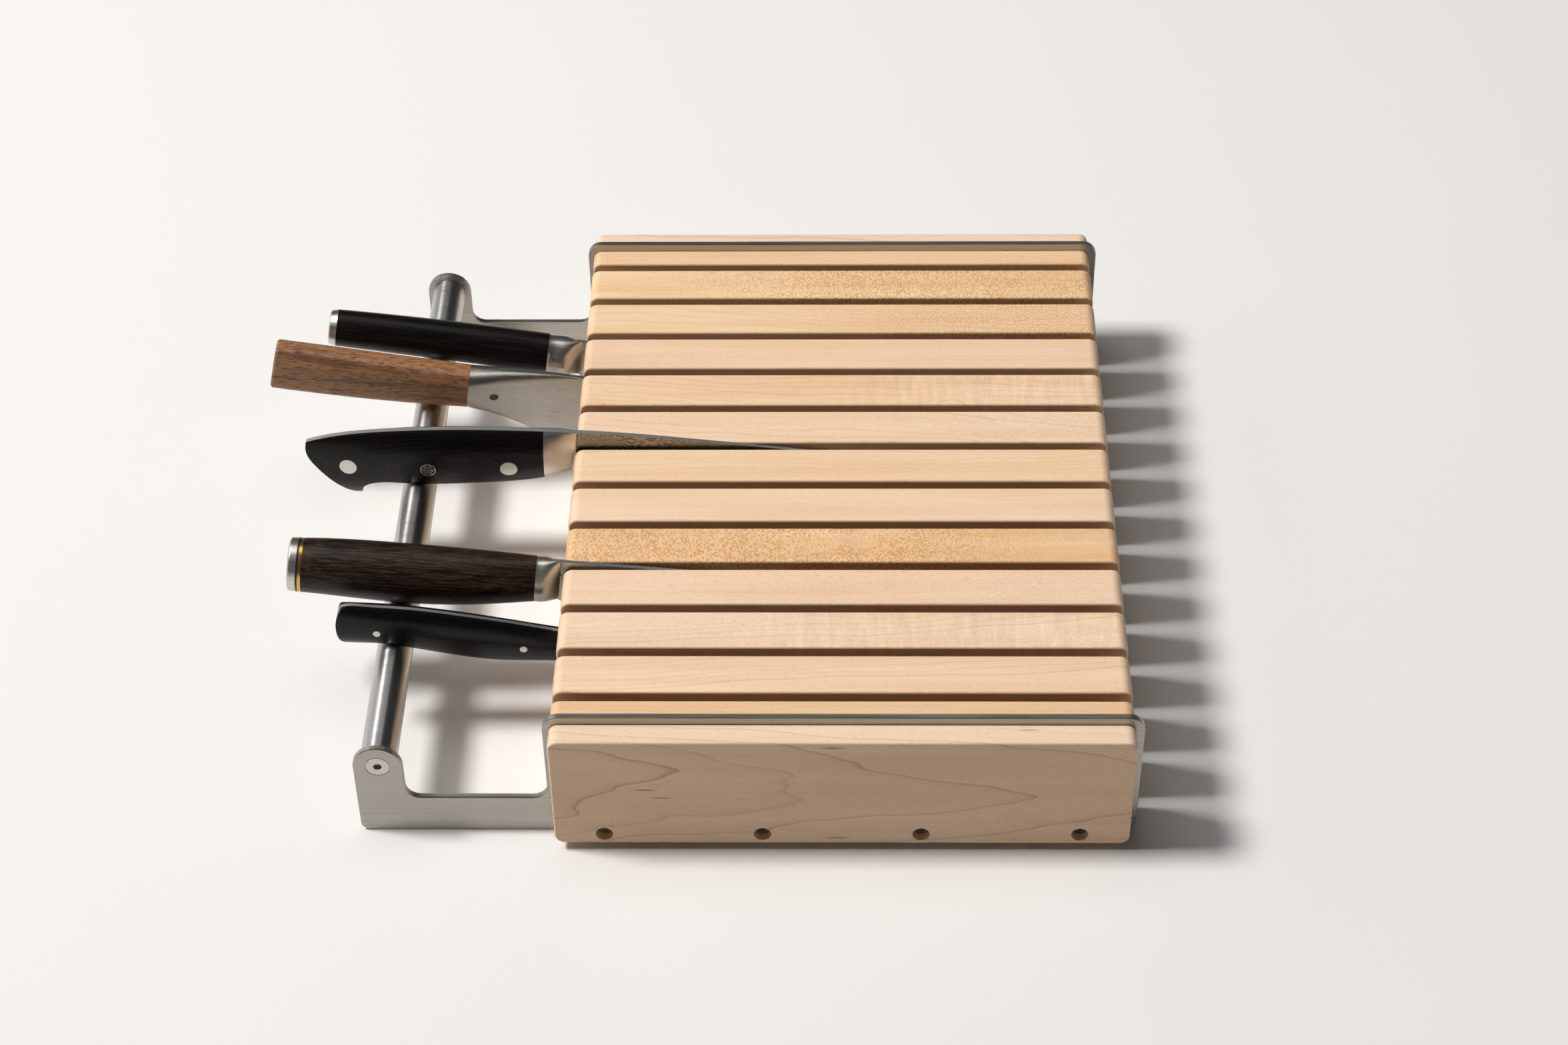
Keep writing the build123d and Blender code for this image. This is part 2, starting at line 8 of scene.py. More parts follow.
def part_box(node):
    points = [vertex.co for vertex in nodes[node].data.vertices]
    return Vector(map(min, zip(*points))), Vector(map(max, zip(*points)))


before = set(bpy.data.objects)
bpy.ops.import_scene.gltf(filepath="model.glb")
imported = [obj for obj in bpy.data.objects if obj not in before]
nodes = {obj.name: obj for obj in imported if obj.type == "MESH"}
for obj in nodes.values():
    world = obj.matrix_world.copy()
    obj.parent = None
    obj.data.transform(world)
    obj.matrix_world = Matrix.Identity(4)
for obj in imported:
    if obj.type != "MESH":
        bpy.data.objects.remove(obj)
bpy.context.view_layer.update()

# ---- Camera ----
# A long lens looks down at the rack's near board from the front. Its place in metres is counted
# from the near board's lower left corner, where the outer face meets the table.
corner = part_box("near_end_board")[0]
left_end, near_face = corner.x, corner.y

camera_right, camera_out, camera_height = 0.13735, 0.99829, 1.11747
camera_turn, camera_raise, camera_roll = 1.3243, 47.9028, -0.8887     # degrees

camera = bpy.data.objects.new("camera", bpy.data.cameras.new("camera"))
camera.data.lens = 70
camera.data.sensor_width = 36
camera.matrix_world = (
    Matrix.Translation((left_end + camera_right, near_face - camera_out, camera_height))
    @ Matrix.Rotation(radians(camera_turn), 4, "Z")
    @ Matrix.Rotation(radians(camera_raise), 4, "X")
    @ Matrix.Rotation(radians(camera_roll), 4, "Z"))
bpy.context.scene.collection.objects.link(camera)
bpy.context.scene.camera = camera


# ---- Paper floor and studio light ----
# The rack stands on a sheet of matt white paper, wide enough to fill every view. One round
# lamp high on the left makes the shadows, two pale panels, overhead and at the left, show in the steel.
def linear(code):
    """An sRGB hex colour as linear RGBA."""
    shares = [int(code[place:place + 2], 16) / 255 for place in (1, 3, 5)]
    return [s / 12.92 if s <= 0.04045 else ((s + 0.055) / 1.055) ** 2.4 for s in shares] + [1.0]


def add(tree, kind, inputs=(), out=0, stops=(), **settings):
    """Adds a node; each input is set, or linked if a socket is given. Returns one output."""
    node = tree.nodes.new("ShaderNode" + kind)
    for key, value in settings.items():
        setattr(node, key, value)
    for key, value in dict(inputs).items():
        if isinstance(value, bpy.types.NodeSocket):
            tree.links.new(value, node.inputs[key])
        else:
            node.inputs[key].default_value = value
    for index, (place, colour) in enumerate(stops):
        if index > 1:
            node.color_ramp.elements.new(place)
        node.color_ramp.elements[index].position = place
        node.color_ramp.elements[index].color = colour
    return node.outputs[out] if node.outputs else node


def new_finish(name):
    """An empty material, and its node tree."""
    finish = bpy.data.materials.new(name)
    finish.use_nodes = True
    finish.node_tree.nodes.clear()
    return finish, finish.node_tree


def close_finish(tree, shader, height=None, relief=0.0):
    """Puts the shader on the surface, with the height as a bump relief metres deep."""
    if height is not None:
        shader = dict(shader, Normal=add(tree, "Bump", {"Height": height, "Distance": relief}))
    add(tree, "OutputMaterial", {"Surface": add(tree, "BsdfPrincipled", shader)})


floor_mesh = bpy.data.meshes.new("floor")
paper = bmesh.new()
bmesh.ops.create_grid(paper, x_segments=8, y_segments=8, size=12)
paper.to_mesh(floor_mesh)
paper.free()
floor = bpy.data.objects.new("floor", floor_mesh)
bpy.context.scene.collection.objects.link(floor)

# Matt coated paper: nearly white, a little uneven over a hand's width.
floor_paper, tree = new_finish("matt_white_paper")
place = add(tree, "TexCoord", out="Object")
cloud = add(tree, "TexNoise", {"Vector": place, "Scale": 6.0, "Detail": 3.0})
tint = add(tree, "Mix", {0: cloud, 6: linear("#ECEBEA"), 7: linear("#EFEDEB")}, out=2, data_type="RGBA")
tooth = add(tree, "TexNoise", {"Vector": place, "Scale": 900.0, "Detail": 2.0})
close_finish(tree, {"Base Color": tint, "Roughness": 0.85, "Specular IOR Level": 0.2}, tooth, 0.00003)
floor_mesh.materials.append(floor_paper)

lamp = bpy.data.lights.new("key_lamp", "POINT")
lamp.shadow_soft_size = 0.34
lamp.color = linear("#FFFDFA")[:3]
lamp.energy = 37.5
lamp.use_nodes = True
tree = lamp.node_tree
tree.nodes.clear()
even = add(tree, "LightFalloff", {"Strength": 1.0}, out="Constant")
add(tree, "OutputLight", {"Surface": add(tree, "Emission", {"Strength": even})})
key_lamp = bpy.data.objects.new("key_lamp", lamp)
key_lamp.location = (left_end - 1.67, near_face + 0.18, 2.64)
bpy.context.scene.collection.objects.link(key_lamp)

# each panel: width, depth, power, place from the rack's corner, and lean about Y in degrees
for name, width, depth, power, place, lean in (
        ("overhead_panel", 1.5, 1.3, 9.5, (-0.35, 0.55, 2.3), 0),
        ("left_panel", 1.9, 3.2, 13.0, (-2.2, 1.3, 0.97), -84)):
    panel = bpy.data.lights.new(name, "AREA")
    panel.shape = "RECTANGLE"
    panel.size, panel.size_y = width, depth
    panel.energy = power
    panel = bpy.data.objects.new(name, panel)
    panel.matrix_world = (Matrix.Translation((left_end + place[0], near_face + place[1], place[2]))
                          @ Matrix.Rotation(radians(lean), 4, "Y"))
    bpy.context.scene.collection.objects.link(panel)

world = bpy.data.worlds.new("pale_walls")
world.use_nodes = True
tree = world.node_tree
tree.nodes.clear()
glow = add(tree, "Background", {"Color": linear("#EDF0F4"), "Strength": 0.055})
add(tree, "OutputWorld", {"Surface": glow})
bpy.context.scene.world = world
bpy.context.scene.view_settings.view_transform = "Standard"
bpy.context.scene.view_settings.look = "None"


# ---- Maple boards ----
# Fifteen hard maple boards stand on edge, planed, their ends rounded and arrises eased, then
# oiled. Growth rings run through each solid, so they agree on its top, sides and ends.
def own_millimetres(tree, origin, tilt=0.0):
    """Coordinates in millimetres from origin, tilted about Y, in the piece's own solid."""
    place = add(tree, "TexCoord", out="Object")
    return add(tree, "Mapping", {
        "Vector": place, "Location": origin, "Rotation": (0, radians(tilt), 0),
        "Scale": (0.001, 0.001, 0.001)}, vector_type="TEXTURE")


def coat(material, *names):
    """Gives CAD nodes a material."""
    for name in names:
        for holder in nodes[name].material_slots:
            holder.material = material


def maple(name, pale, warm, pith, slope, rings=2.6, line=0.5, sweep=2.0, flecks=(0, 0, 1),
          curl=(0, 0, 1), streaks=0.0, eye=None, seed=0.0):
    """Hard maple. pith: its middle (y, z) in mm from the board's centre; slope: how far the
    rings lean along the board; flecks, curl: strength, and where along the board each fades
    in from and is full; eye: place of a knot's eye (x, y) and its strength."""
    low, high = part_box(name)
    finish, tree = new_finish("oiled_maple_" + name)
    origin = (low.x, (low.y + high.y) / 2, (low.z + high.z) / 2)
    place = own_millimetres(tree, origin)
    along = add(tree, "SeparateXYZ", {"Vector": place}, out="X")

    # rings: distance from the pith, leaning along the board and swept by slow warps
    far_off = (seed * 97.0, seed * 31.0, seed * 53.0)
    shifted = add(tree, "VectorMath", {0: place, 1: far_off}, operation="ADD")
    drift = add(tree, "VectorMath", {0: shifted, 1: (0.006, 0.03, 0.03)}, operation="MULTIPLY")
    warp = add(tree, "TexNoise", {"Vector": drift, "Scale": 1.0, "Detail": 2.5, "Roughness": 0.55})
    across = add(tree, "VectorMath", {0: place, 1: (0, -pith[0], -pith[1])}, operation="ADD")
    across = add(tree, "VectorMath", {0: across, 1: (0, 1, 1)}, operation="MULTIPLY")
    reach = add(tree, "VectorMath", {0: across}, out="Value", operation="LENGTH")
    reach = add(tree, "Math", {0: along, 1: slope, 2: reach}, operation="MULTIPLY_ADD")
    reach = add(tree, "Math", {0: warp, 1: sweep * 8.0, 2: reach}, operation="MULTIPLY_ADD")
    if eye:
        near_eye = add(tree, "VectorMath", {0: place, 1: (-eye[0], -eye[1], 0)}, operation="ADD")
        near_eye = add(tree, "VectorMath", {0: near_eye, 1: (0.6, 1.0, 0.25)}, operation="MULTIPLY")
        near_eye = add(tree, "VectorMath", {0: near_eye}, out="Value", operation="LENGTH")
        swell = add(tree, "MapRange", {0: near_eye, 1: 16.0, 2: 0.0}, interpolation_type="SMOOTHERSTEP")
        reach = add(tree, "Math", {0: swell, 1: eye[2], 2: reach}, operation="MULTIPLY_ADD")
    count = add(tree, "Math", {0: reach, 1: rings}, operation="DIVIDE")
    season = add(tree, "Math", {0: count}, operation="FRACT")
    year = add(tree, "Math", {0: count}, operation="FLOOR")
    year = add(tree, "TexWhiteNoise", {"W": year}, noise_dimensions="1D")
    late = add(tree, "ValToRGB", {0: season}, stops=[
        (0.0, (0.3, 0.3, 0.3, 1)), (0.04, (0, 0, 0, 1)), (0.70, (0.06, 0.06, 0.06, 1)),
        (0.90, (0.28, 0.28, 0.28, 1)), (0.97, (1, 1, 1, 1))])
    late = add(tree, "Math", {0: late, 1: year}, operation="MULTIPLY")

    # pores: fine dark dashes about 0.2 mm wide and 2 mm long, drawn a little coarse to show
    fine = add(tree, "VectorMath", {0: shifted, 1: (0.45, 2.6, 2.6)}, operation="MULTIPLY")
    pores = add(tree, "TexNoise", {"Vector": fine, "Scale": 1.0, "Detail": 2.0, "Roughness": 0.6})
    pores = add(tree, "MapRange", {0: pores, 1: 0.56, 2: 0.72})
    # ray flecks: rays cut across show as spots about a millimetre wide
    spot = add(tree, "VectorMath", {0: shifted, 1: (1.3, 0.8, 0.8)}, operation="MULTIPLY")
    spots = add(tree, "TexNoise", {"Vector": spot, "Scale": 1.0, "Detail": 0.0, "Distortion": 0.2})
    spots = add(tree, "MapRange", {0: spots, 1: 0.48, 2: 0.60})
    patch = add(tree, "MapRange", {0: along, 1: flecks[1], 2: flecks[2], 3: 0.12, 4: 1.0},
                interpolation_type="SMOOTHSTEP")
    patchy = add(tree, "VectorMath", {0: shifted, 1: (0.02, 0.09, 0.09)}, operation="MULTIPLY")
    patchy = add(tree, "TexNoise", {"Vector": patchy, "Scale": 1.0, "Detail": 1.0})
    patchy = add(tree, "MapRange", {0: patchy, 1: 0.2, 2: 0.5, 3: 0.3})
    spots = add(tree, "Math", {0: spots, 1: patch}, operation="MULTIPLY")
    spots = add(tree, "Math", {0: spots, 1: patchy}, operation="MULTIPLY")
    spots = add(tree, "Math", {0: spots, 1: flecks[0]}, operation="MULTIPLY")
    # curl: soft bands across the grain, about 4 mm apart
    band = add(tree, "VectorMath", {0: shifted, 1: (0.26, 0.03, 0.03)}, operation="MULTIPLY")
    bands = add(tree, "TexNoise", {"Vector": band, "Scale": 1.0, "Detail": 2.0})
    where = add(tree, "MapRange", {0: along, 1: curl[1], 2: curl[2]}, interpolation_type="SMOOTHSTEP")
    bands = add(tree, "Math", {0: bands, 1: 0.5}, operation="SUBTRACT")
    bands = add(tree, "Math", {0: bands, 1: where}, operation="MULTIPLY")
    bands = add(tree, "Math", {0: bands, 1: curl[0], 2: 1.0}, operation="MULTIPLY_ADD")

    # colour: sapwood cream to warm tan, in slow stripes along the board
    stripe = add(tree, "VectorMath", {0: shifted, 1: (0.007, 0.11, 0.11)}, operation="MULTIPLY")
    stripes = add(tree, "TexNoise", {"Vector": stripe, "Scale": 1.0, "Detail": 3.0})
    stripes = add(tree, "MapRange", {0: stripes, 1: 0.3, 2: 0.7})
    colour = add(tree, "Mix", {0: stripes, 6: linear(pale), 7: linear(warm)}, out=2, data_type="RGBA")
    late = add(tree, "Math", {0: late, 1: line}, operation="MULTIPLY")
    colour = add(tree, "Mix", {0: late, 6: colour, 7: linear("#A87E58")}, out=2, data_type="RGBA")
    spots = add(tree, "Math", {0: spots, 1: 0.6}, operation="MULTIPLY")
    colour = add(tree, "Mix", {0: spots, 6: colour, 7: linear("#C48A4A")}, out=2, data_type="RGBA")
    dashes = add(tree, "Math", {0: pores, 1: 0.26}, operation="MULTIPLY")
    colour = add(tree, "Mix", {0: dashes, 6: colour, 7: linear("#8E6238")}, out=2, data_type="RGBA")
    if streaks:
        # mineral streaks: brown lens-shaped dashes some 15 mm long and 1 mm high
        lens = add(tree, "VectorMath", {0: shifted, 1: (0.022, 0.26, 0.26)}, operation="MULTIPLY")
        cell = add(tree, "TexVoronoi", {"Vector": lens, "Scale": 1.0})
        chance = add(tree, "TexVoronoi", {"Vector": lens, "Scale": 1.0}, out="Color")
        chance = add(tree, "SeparateXYZ", {"Vector": chance})
        chance = add(tree, "MapRange", {0: chance, 1: 0.74, 2: 0.78})
        dash = add(tree, "MapRange", {0: cell, 1: 0.17, 2: 0.05})
        dash = add(tree, "Math", {0: dash, 1: chance}, operation="MULTIPLY")
        dash = add(tree, "Math", {0: dash, 1: streaks}, operation="MULTIPLY")
        colour = add(tree, "Mix", {0: dash, 6: colour, 7: linear("#7C5335")}, out=2, data_type="RGBA")
    # end grain drinks more oil than the planed top and looks darker; the wide faces carry painted shade,
    # coloured darker and warmer than the top
    facing = add(tree, "VectorMath", {0: add(tree, "TexCoord", out="Normal")}, operation="ABSOLUTE")
    ends = add(tree, "SeparateXYZ", {"Vector": facing})
    ends = add(tree, "MapRange", {0: ends, 1: 0.6, 2: 1.0, 3: 1.0, 4: 0.84})
    faces = add(tree, "SeparateXYZ", {"Vector": facing}, out="Y")
    faces = add(tree, "MapRange", {0: faces, 1: 0.5, 2: 0.95, 4: 0.8})
    # painted shade on the wide faces: their colour darkened and warmed
    painted_face_shade = add(tree, "VectorMath", {0: colour, 1: (0.80, 0.72, 0.64)}, operation="MULTIPLY")
    colour = add(tree, "Mix", {0: faces, 6: colour, 7: painted_face_shade}, out=2, data_type="RGBA")
    shade = add(tree, "Math", {0: ends, 1: bands}, operation="MULTIPLY")
    colour = add(tree, "VectorMath", {0: colour, 1: (1.07, 1.01, 0.99)}, operation="MULTIPLY")
    colour = add(tree, "VectorMath", {0: colour, "Scale": shade}, operation="SCALE")

    gloss = add(tree, "MapRange", {0: pores, 3: 0.46, 4: 0.62})
    height = add(tree, "Math", {0: pores, 1: -1.0, 2: 1.0}, operation="MULTIPLY_ADD")
    height = add(tree, "Math", {0: late, 1: -0.5, 2: height}, operation="MULTIPLY_ADD")
    close_finish(tree, {"Base Color": colour, "Roughness": gloss, "IOR": 1.47, "Specular IOR Level": 0.35},
                 height, 0.00005)
    coat(finish, name)


maple("near_end_board", "#F0DCC4", "#E9D0B2", pith=(-60, 4), slope=0.07, rings=4.2, line=0.55, sweep=2.2,
      streaks=0.8, seed=21)
maple("near_half_slat", "#EFD3B2", "#E3BE94", pith=(45, 10), slope=0.01, seed=2)
maple("slat_01", "#F2DABD", "#E8CAA6", pith=(60, -20), slope=0.045, line=0.5, seed=3)
maple("slat_02", "#F2DDC5", "#EACFAF", pith=(50, -30), slope=0.05, line=0.45, curl=(0.35, 70, 150),
      flecks=(0.2, 20, 60), seed=4)
maple("slat_03", "#F1DAC0", "#EACEAE", pith=(70, 20), slope=0.01, line=0.25, flecks=(0.25, 0, 120), seed=5)
maple("slat_04", "#F0D3AC", "#E6C091", pith=(0, 90), slope=0.01, line=0.25, flecks=(1.0, 270, 160),
      curl=(0.2, 230, 120), seed=6)
maple("slat_05", "#F1D9BE", "#EBCFAF", pith=(66, 0), slope=0.012, line=0.3, flecks=(0.1, 0, 60), seed=7)
maple("slat_06", "#F1D8B8", "#E9CAA2", pith=(52, -14), slope=0.02, line=0.4, flecks=(0.1, 60, 0), seed=8)
maple("slat_07", "#F2DDC3", "#EBD0B0", pith=(48, -22), slope=-0.05, line=0.5,
      flecks=(0.25, 120, 260), seed=9)
maple("slat_08", "#F1D8BA", "#E7C69E", pith=(54, -26), slope=-0.04, line=0.55, curl=(0.4, 100, 190),
      eye=(199, -7, 14.0), seed=10)
maple("slat_09", "#EFD6BA", "#E7C9A6", pith=(64, 6), slope=0.008, line=0.3, seed=11)
maple("slat_10", "#F1D7B5", "#E8C89E", pith=(40, -30), slope=-0.03, line=0.4,
      flecks=(0.75, 60, 240), seed=12)
maple("slat_11", "#F2D7B0", "#E8C494", pith=(10, 90), slope=0.01, line=0.25, flecks=(1.0, 0, 150), seed=13)
maple("far_half_slat", "#EFD2AE", "#E6C298", pith=(45, -6), slope=0.01, line=0.4, seed=14)
maple("far_end_board", "#F0DCC6", "#E8D0B4", pith=(-70, 10), slope=0.04, rings=4.6, line=0.7, sweep=3.0,
      streaks=0.5, seed=15)


# ---- Side plates ----
# Two 3.2 mm stainless steel plates, laser cut with a low leg and a post, edges broken, faces
# brushed along their length. They are clamped between the end boards and the half slats.
def brushed_steel(name, base, bright, dim, grain, roughness, relief, origin, tilt=0.0, spread=0.10,
                  round_axis=None):
    """Steel with brush lines. grain: lines per millimetre along X, Y and Z (small is along).
    round_axis: for a turned bar, the axis that its highlights are drawn out along."""
    finish, tree = new_finish(name)
    place = own_millimetres(tree, origin, tilt)
    fine = add(tree, "VectorMath", {0: place, 1: grain}, operation="MULTIPLY")
    lines = add(tree, "TexNoise", {"Vector": fine, "Scale": 1.0, "Detail": 3.0, "Roughness": 0.65})
    coarse = add(tree, "VectorMath", {0: place, 1: [share * 0.22 for share in grain]}, operation="MULTIPLY")
    bundles = add(tree, "TexNoise", {"Vector": coarse, "Scale": 1.0, "Detail": 2.0})
    smear = add(tree, "TexNoise", {"Vector": place, "Scale": 0.035, "Detail": 3.0})
    mixed = add(tree, "Math", {0: lines, 1: 0.6, 2: bundles}, operation="MULTIPLY_ADD")
    tone = add(tree, "MapRange", {0: mixed, 1: 0.55, 2: 1.05})
    colour = add(tree, "Mix", {0: tone, 6: linear(dim), 7: linear(bright)}, out=2, data_type="RGBA")
    colour = add(tree, "Mix", {0: 0.5, 6: colour, 7: linear(base)}, out=2, data_type="RGBA")
    rough = add(tree, "MapRange", {0: mixed, 1: 0.55, 2: 1.05, 3: roughness - spread, 4: roughness + spread})
    rough = add(tree, "Math", {0: smear, 1: 0.12, 2: rough}, operation="MULTIPLY_ADD")
    shader = {"Base Color": colour, "Metallic": 1.0, "Roughness": rough}
    if round_axis:
        turned = add(tree, "Tangent", direction_type="RADIAL", axis=round_axis)
        shader.update({"Anisotropic": 0.85, "Anisotropic Rotation": 0.25, "Tangent": turned})
    close_finish(tree, shader, lines, relief)
    return finish


# Brushed 304 stainless steel: long fine scratches that spread every reflection up and down.
coat(brushed_steel("brushed_stainless_plate", "#AEA9A2", "#C2BDB6", "#928D86", grain=(0.02, 1.5, 4.5),
                   roughness=0.36, relief=0.000006, origin=corner), "near_side_plate", "far_side_plate")


# ---- Handle rest bar and its screws ----
# The bar is 18 mm stainless round, turned and polished, so its highlights run along it. A
# countersunk stainless screw with a hexagon socket holds it at each post.
bar_low, bar_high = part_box("handle_rest_bar")
coat(brushed_steel("turned_stainless_bar", "#C9C8C6", "#D0CFCD", "#C0BFBC", grain=(0.1, 4.0, 0.1),
                   roughness=0.26, relief=0.0000001, origin=bar_low, spread=0.04,
                   round_axis="Y"), "handle_rest_bar")
# Machined stainless steel: smooth, with the faint rings that the tool left.
coat(brushed_steel("machined_stainless_screw", "#C9C6C0", "#D8D5CF", "#B0ACA5", grain=(1.5, 1.5, 1.5),
                   roughness=0.30, relief=0.000003, origin=bar_low), "bar_screws")


# ---- Tie rods, end nuts and slot spacers ----
# Four zinc-plated threaded rods pull the stack together; sleeve nuts sit deep in the end
# boards' holes. Black nylon sleeves on the rods keep the slots open.
def rolled_thread(name):
    """Bright zinc on a rolled thread of 1 mm pitch."""
    finish, tree = new_finish(name)
    place = own_millimetres(tree, corner)
    groove = add(tree, "TexWave", {"Vector": place, "Scale": 0.314, "Distortion": 0.0},
                 wave_type="BANDS", bands_direction="Y", wave_profile="SIN")
    bloom = add(tree, "TexNoise", {"Vector": place, "Scale": 0.8, "Detail": 3.0})
    colour = add(tree, "Mix", {0: bloom, 6: linear("#AEB2B4"), 7: linear("#C9C6BE")}, out=2,
                 data_type="RGBA")
    rough = add(tree, "MapRange", {0: bloom, 3: 0.28, 4: 0.48})
    close_finish(tree, {"Base Color": colour, "Metallic": 1.0, "Roughness": rough}, groove, 0.0003)
    return finish


coat(rolled_thread("zinc_plated_thread"), *[f"tie_rod_{row}" for row in (1, 2, 3, 4)])
coat(brushed_steel("zinc_plated_nut", "#8E8A82", "#A39F97", "#77726A", grain=(1.2, 1.2, 1.2),
                   roughness=0.38, relief=0.000004, origin=corner), "rod_end_nuts")

# Moulded nylon: even black with the fine matt of the mould.
nylon, tree = new_finish("moulded_black_nylon")
place = own_millimetres(tree, corner)
matt = add(tree, "TexNoise", {"Vector": place, "Scale": 2.5, "Detail": 3.0})
colour = add(tree, "Mix", {0: matt, 6: linear("#1B1A19"), 7: linear("#2A2827")}, out=2, data_type="RGBA")
rough = add(tree, "MapRange", {0: matt, 3: 0.45, 4: 0.62})
close_finish(tree, {"Base Color": colour, "Roughness": rough, "IOR": 1.53}, matt, 0.00003)
coat(nylon, *[f"slot_spacers_{row}" for row in (1, 2, 3, 4)])


# ---- Carving knife ----
# A slim carver: ground stainless blade, polished bolster and steel cap, and a handle of black
# pakkawood, which is birch veneer pressed with resin. The handle's section is a blunt D.
slat_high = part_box("slat_01")[1]
bar_reach = left_end - (bar_low.x + bar_high.x) / 2


def knife_origin(slat, tilt, handle_depth, gap=0.0006):
    """Where a knife's spine meets the boards' left ends: in the slot after that slat, the
    handle's underside at handle_depth over the bar by gap."""
    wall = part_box(f"slat_{slat:02d}")[0].y
    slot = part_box("slat_02")[0].y - slat_high.y
    slope = radians(tilt)
    height = bar_high.z + gap + handle_depth * cos(slope) - bar_reach * sin(slope)
    return Vector((left_end, wall - slot / 2, height))


# Ground blade steel: scratches straight down from the spine, wiped to a satin.
def ground_blade_steel(name, origin, tilt):
    return brushed_steel(name, "#BEBDBA", "#CCCBC8", "#AEADAA", grain=(4.5, 1.0, 0.05),
                         roughness=0.36, relief=0.0000008, origin=origin, tilt=tilt, spread=0.07)


# Polished steel: a soft mirror, with faint wipes along the knife.
def polished_steel(name, origin, tilt, roughness=0.26):
    return brushed_steel(name, "#CFCBC5", "#D5D1CB", "#C7C2BB", grain=(0.08, 2.5, 2.5),
                         roughness=roughness, relief=0.0000006, origin=origin, tilt=tilt, spread=0.04)


carving_tilt = 8.85
carving_origin = knife_origin(slat=10, tilt=carving_tilt, handle_depth=0.0223, gap=0.0078)
coat(ground_blade_steel("ground_carving_blade", carving_origin, carving_tilt), "carving_blade")
coat(polished_steel("polished_carving_bolster", carving_origin, carving_tilt), "carving_bolster")
coat(polished_steel("satin_carving_cap", carving_origin, carving_tilt, 0.27), "carving_end_cap")

# Black pakkawood: pressed veneers, satin, with faint brown-black lines along the handle.
pakka, tree = new_finish("black_pakkawood")
place = own_millimetres(tree, carving_origin, carving_tilt)
fine = add(tree, "VectorMath", {0: place, 1: (0.035, 1.6, 1.6)}, operation="MULTIPLY")
veins = add(tree, "TexNoise", {"Vector": fine, "Scale": 1.0, "Detail": 4.0, "Roughness": 0.65})
tone = add(tree, "MapRange", {0: veins, 1: 0.45, 2: 0.78})
colour = add(tree, "Mix", {0: tone, 6: linear("#080706"), 7: linear("#2A241F")}, out=2, data_type="RGBA")
rough = add(tree, "MapRange", {0: veins, 1: 0.3, 2: 0.7, 3: 0.30, 4: 0.42})
close_finish(tree, {"Base Color": colour, "Roughness": rough, "Specular IOR Level": 0.2}, veins, 0.00003)
coat(pakka, "carving_handle")


# ---- Santoku ----
# Blade and neck are one forging, satin ground, with a small inlaid dark dot on the near side.
# The handle is a rounded block of oiled walnut, let in flush with the neck.
santoku_tilt = 8.5
santoku_origin = knife_origin(slat=9, tilt=santoku_tilt, handle_depth=0.029)

forged, tree = new_finish("satin_forged_santoku")
place = own_millimetres(tree, santoku_origin, santoku_tilt)
fine = add(tree, "VectorMath", {0: place, 1: (0.04, 3.0, 3.2)}, operation="MULTIPLY")
lines = add(tree, "TexNoise", {"Vector": fine, "Scale": 1.0, "Detail": 3.0, "Roughness": 0.6})
tone = add(tree, "MapRange", {0: lines, 1: 0.3, 2: 0.7})
colour = add(tree, "Mix", {0: tone, 6: linear("#9C9892"), 7: linear("#BEB9B2")}, out=2, data_type="RGBA")
dot_back, dot_down = 46.4, 17.3     # mm from where the spine meets the boards
from_dot = add(tree, "VectorMath", {0: place, 1: (dot_back, 0, dot_down)}, operation="ADD")
from_dot = add(tree, "VectorMath", {0: from_dot, 1: (1, 0, 1)}, operation="MULTIPLY")
from_dot = add(tree, "VectorMath", {0: from_dot}, out="Value", operation="LENGTH")
inlay = add(tree, "MapRange", {0: from_dot, 1: 2.6, 2: 2.4})
near_side = add(tree, "SeparateXYZ", {"Vector": place}, out="Y")
near_side = add(tree, "Math", {0: near_side, 1: 0.0}, operation="LESS_THAN")
inlay = add(tree, "Math", {0: inlay, 1: near_side}, operation="MULTIPLY")
colour = add(tree, "Mix", {0: inlay, 6: colour, 7: linear("#2A1A14")}, out=2, data_type="RGBA")
metal = add(tree, "Math", {0: 1.0, 1: inlay}, operation="SUBTRACT")
rough = add(tree, "MapRange", {0: lines, 1: 0.3, 2: 0.7, 3: 0.33, 4: 0.43})
close_finish(tree, {"Base Color": colour, "Metallic": metal, "Roughness": rough}, lines, 0.0000015)
coat(forged, "santoku_blade")

# Oiled walnut: warm brown, darker bands every few millimetres, short dark pores.
walnut, tree = new_finish("oiled_walnut")
place = own_millimetres(tree, santoku_origin, santoku_tilt)
band = add(tree, "VectorMath", {0: place, 1: (0.012, 0.22, 0.22)}, operation="MULTIPLY")
bands = add(tree, "TexNoise", {
    "Vector": band, "Scale": 1.0, "Detail": 4.0, "Roughness": 0.6, "Distortion": 0.3})
tone = add(tree, "MapRange", {0: bands, 1: 0.32, 2: 0.68})
colour = add(tree, "ValToRGB", {0: tone}, stops=[
    (0.0, linear("#74492F")), (1.0, linear("#CE9C72")), (0.45, linear("#A8764D"))])
pore = add(tree, "VectorMath", {0: place, 1: (0.2, 1.9, 1.9)}, operation="MULTIPLY")
pores = add(tree, "TexNoise", {"Vector": pore, "Scale": 1.0, "Detail": 2.0, "Roughness": 0.6})
pores = add(tree, "MapRange", {0: pores, 1: 0.52, 2: 0.62})
dashes = add(tree, "Math", {0: pores, 1: 0.72}, operation="MULTIPLY")
colour = add(tree, "Mix", {0: dashes, 6: colour, 7: linear("#33201A")}, out=2, data_type="RGBA")
rough = add(tree, "MapRange", {0: pores, 3: 0.42, 4: 0.62})
height = add(tree, "Math", {0: 1.0, 1: pores}, operation="SUBTRACT")
close_finish(tree, {"Base Color": colour, "Roughness": rough, "IOR": 1.47}, height, 0.00012)
coat(walnut, "santoku_handle")


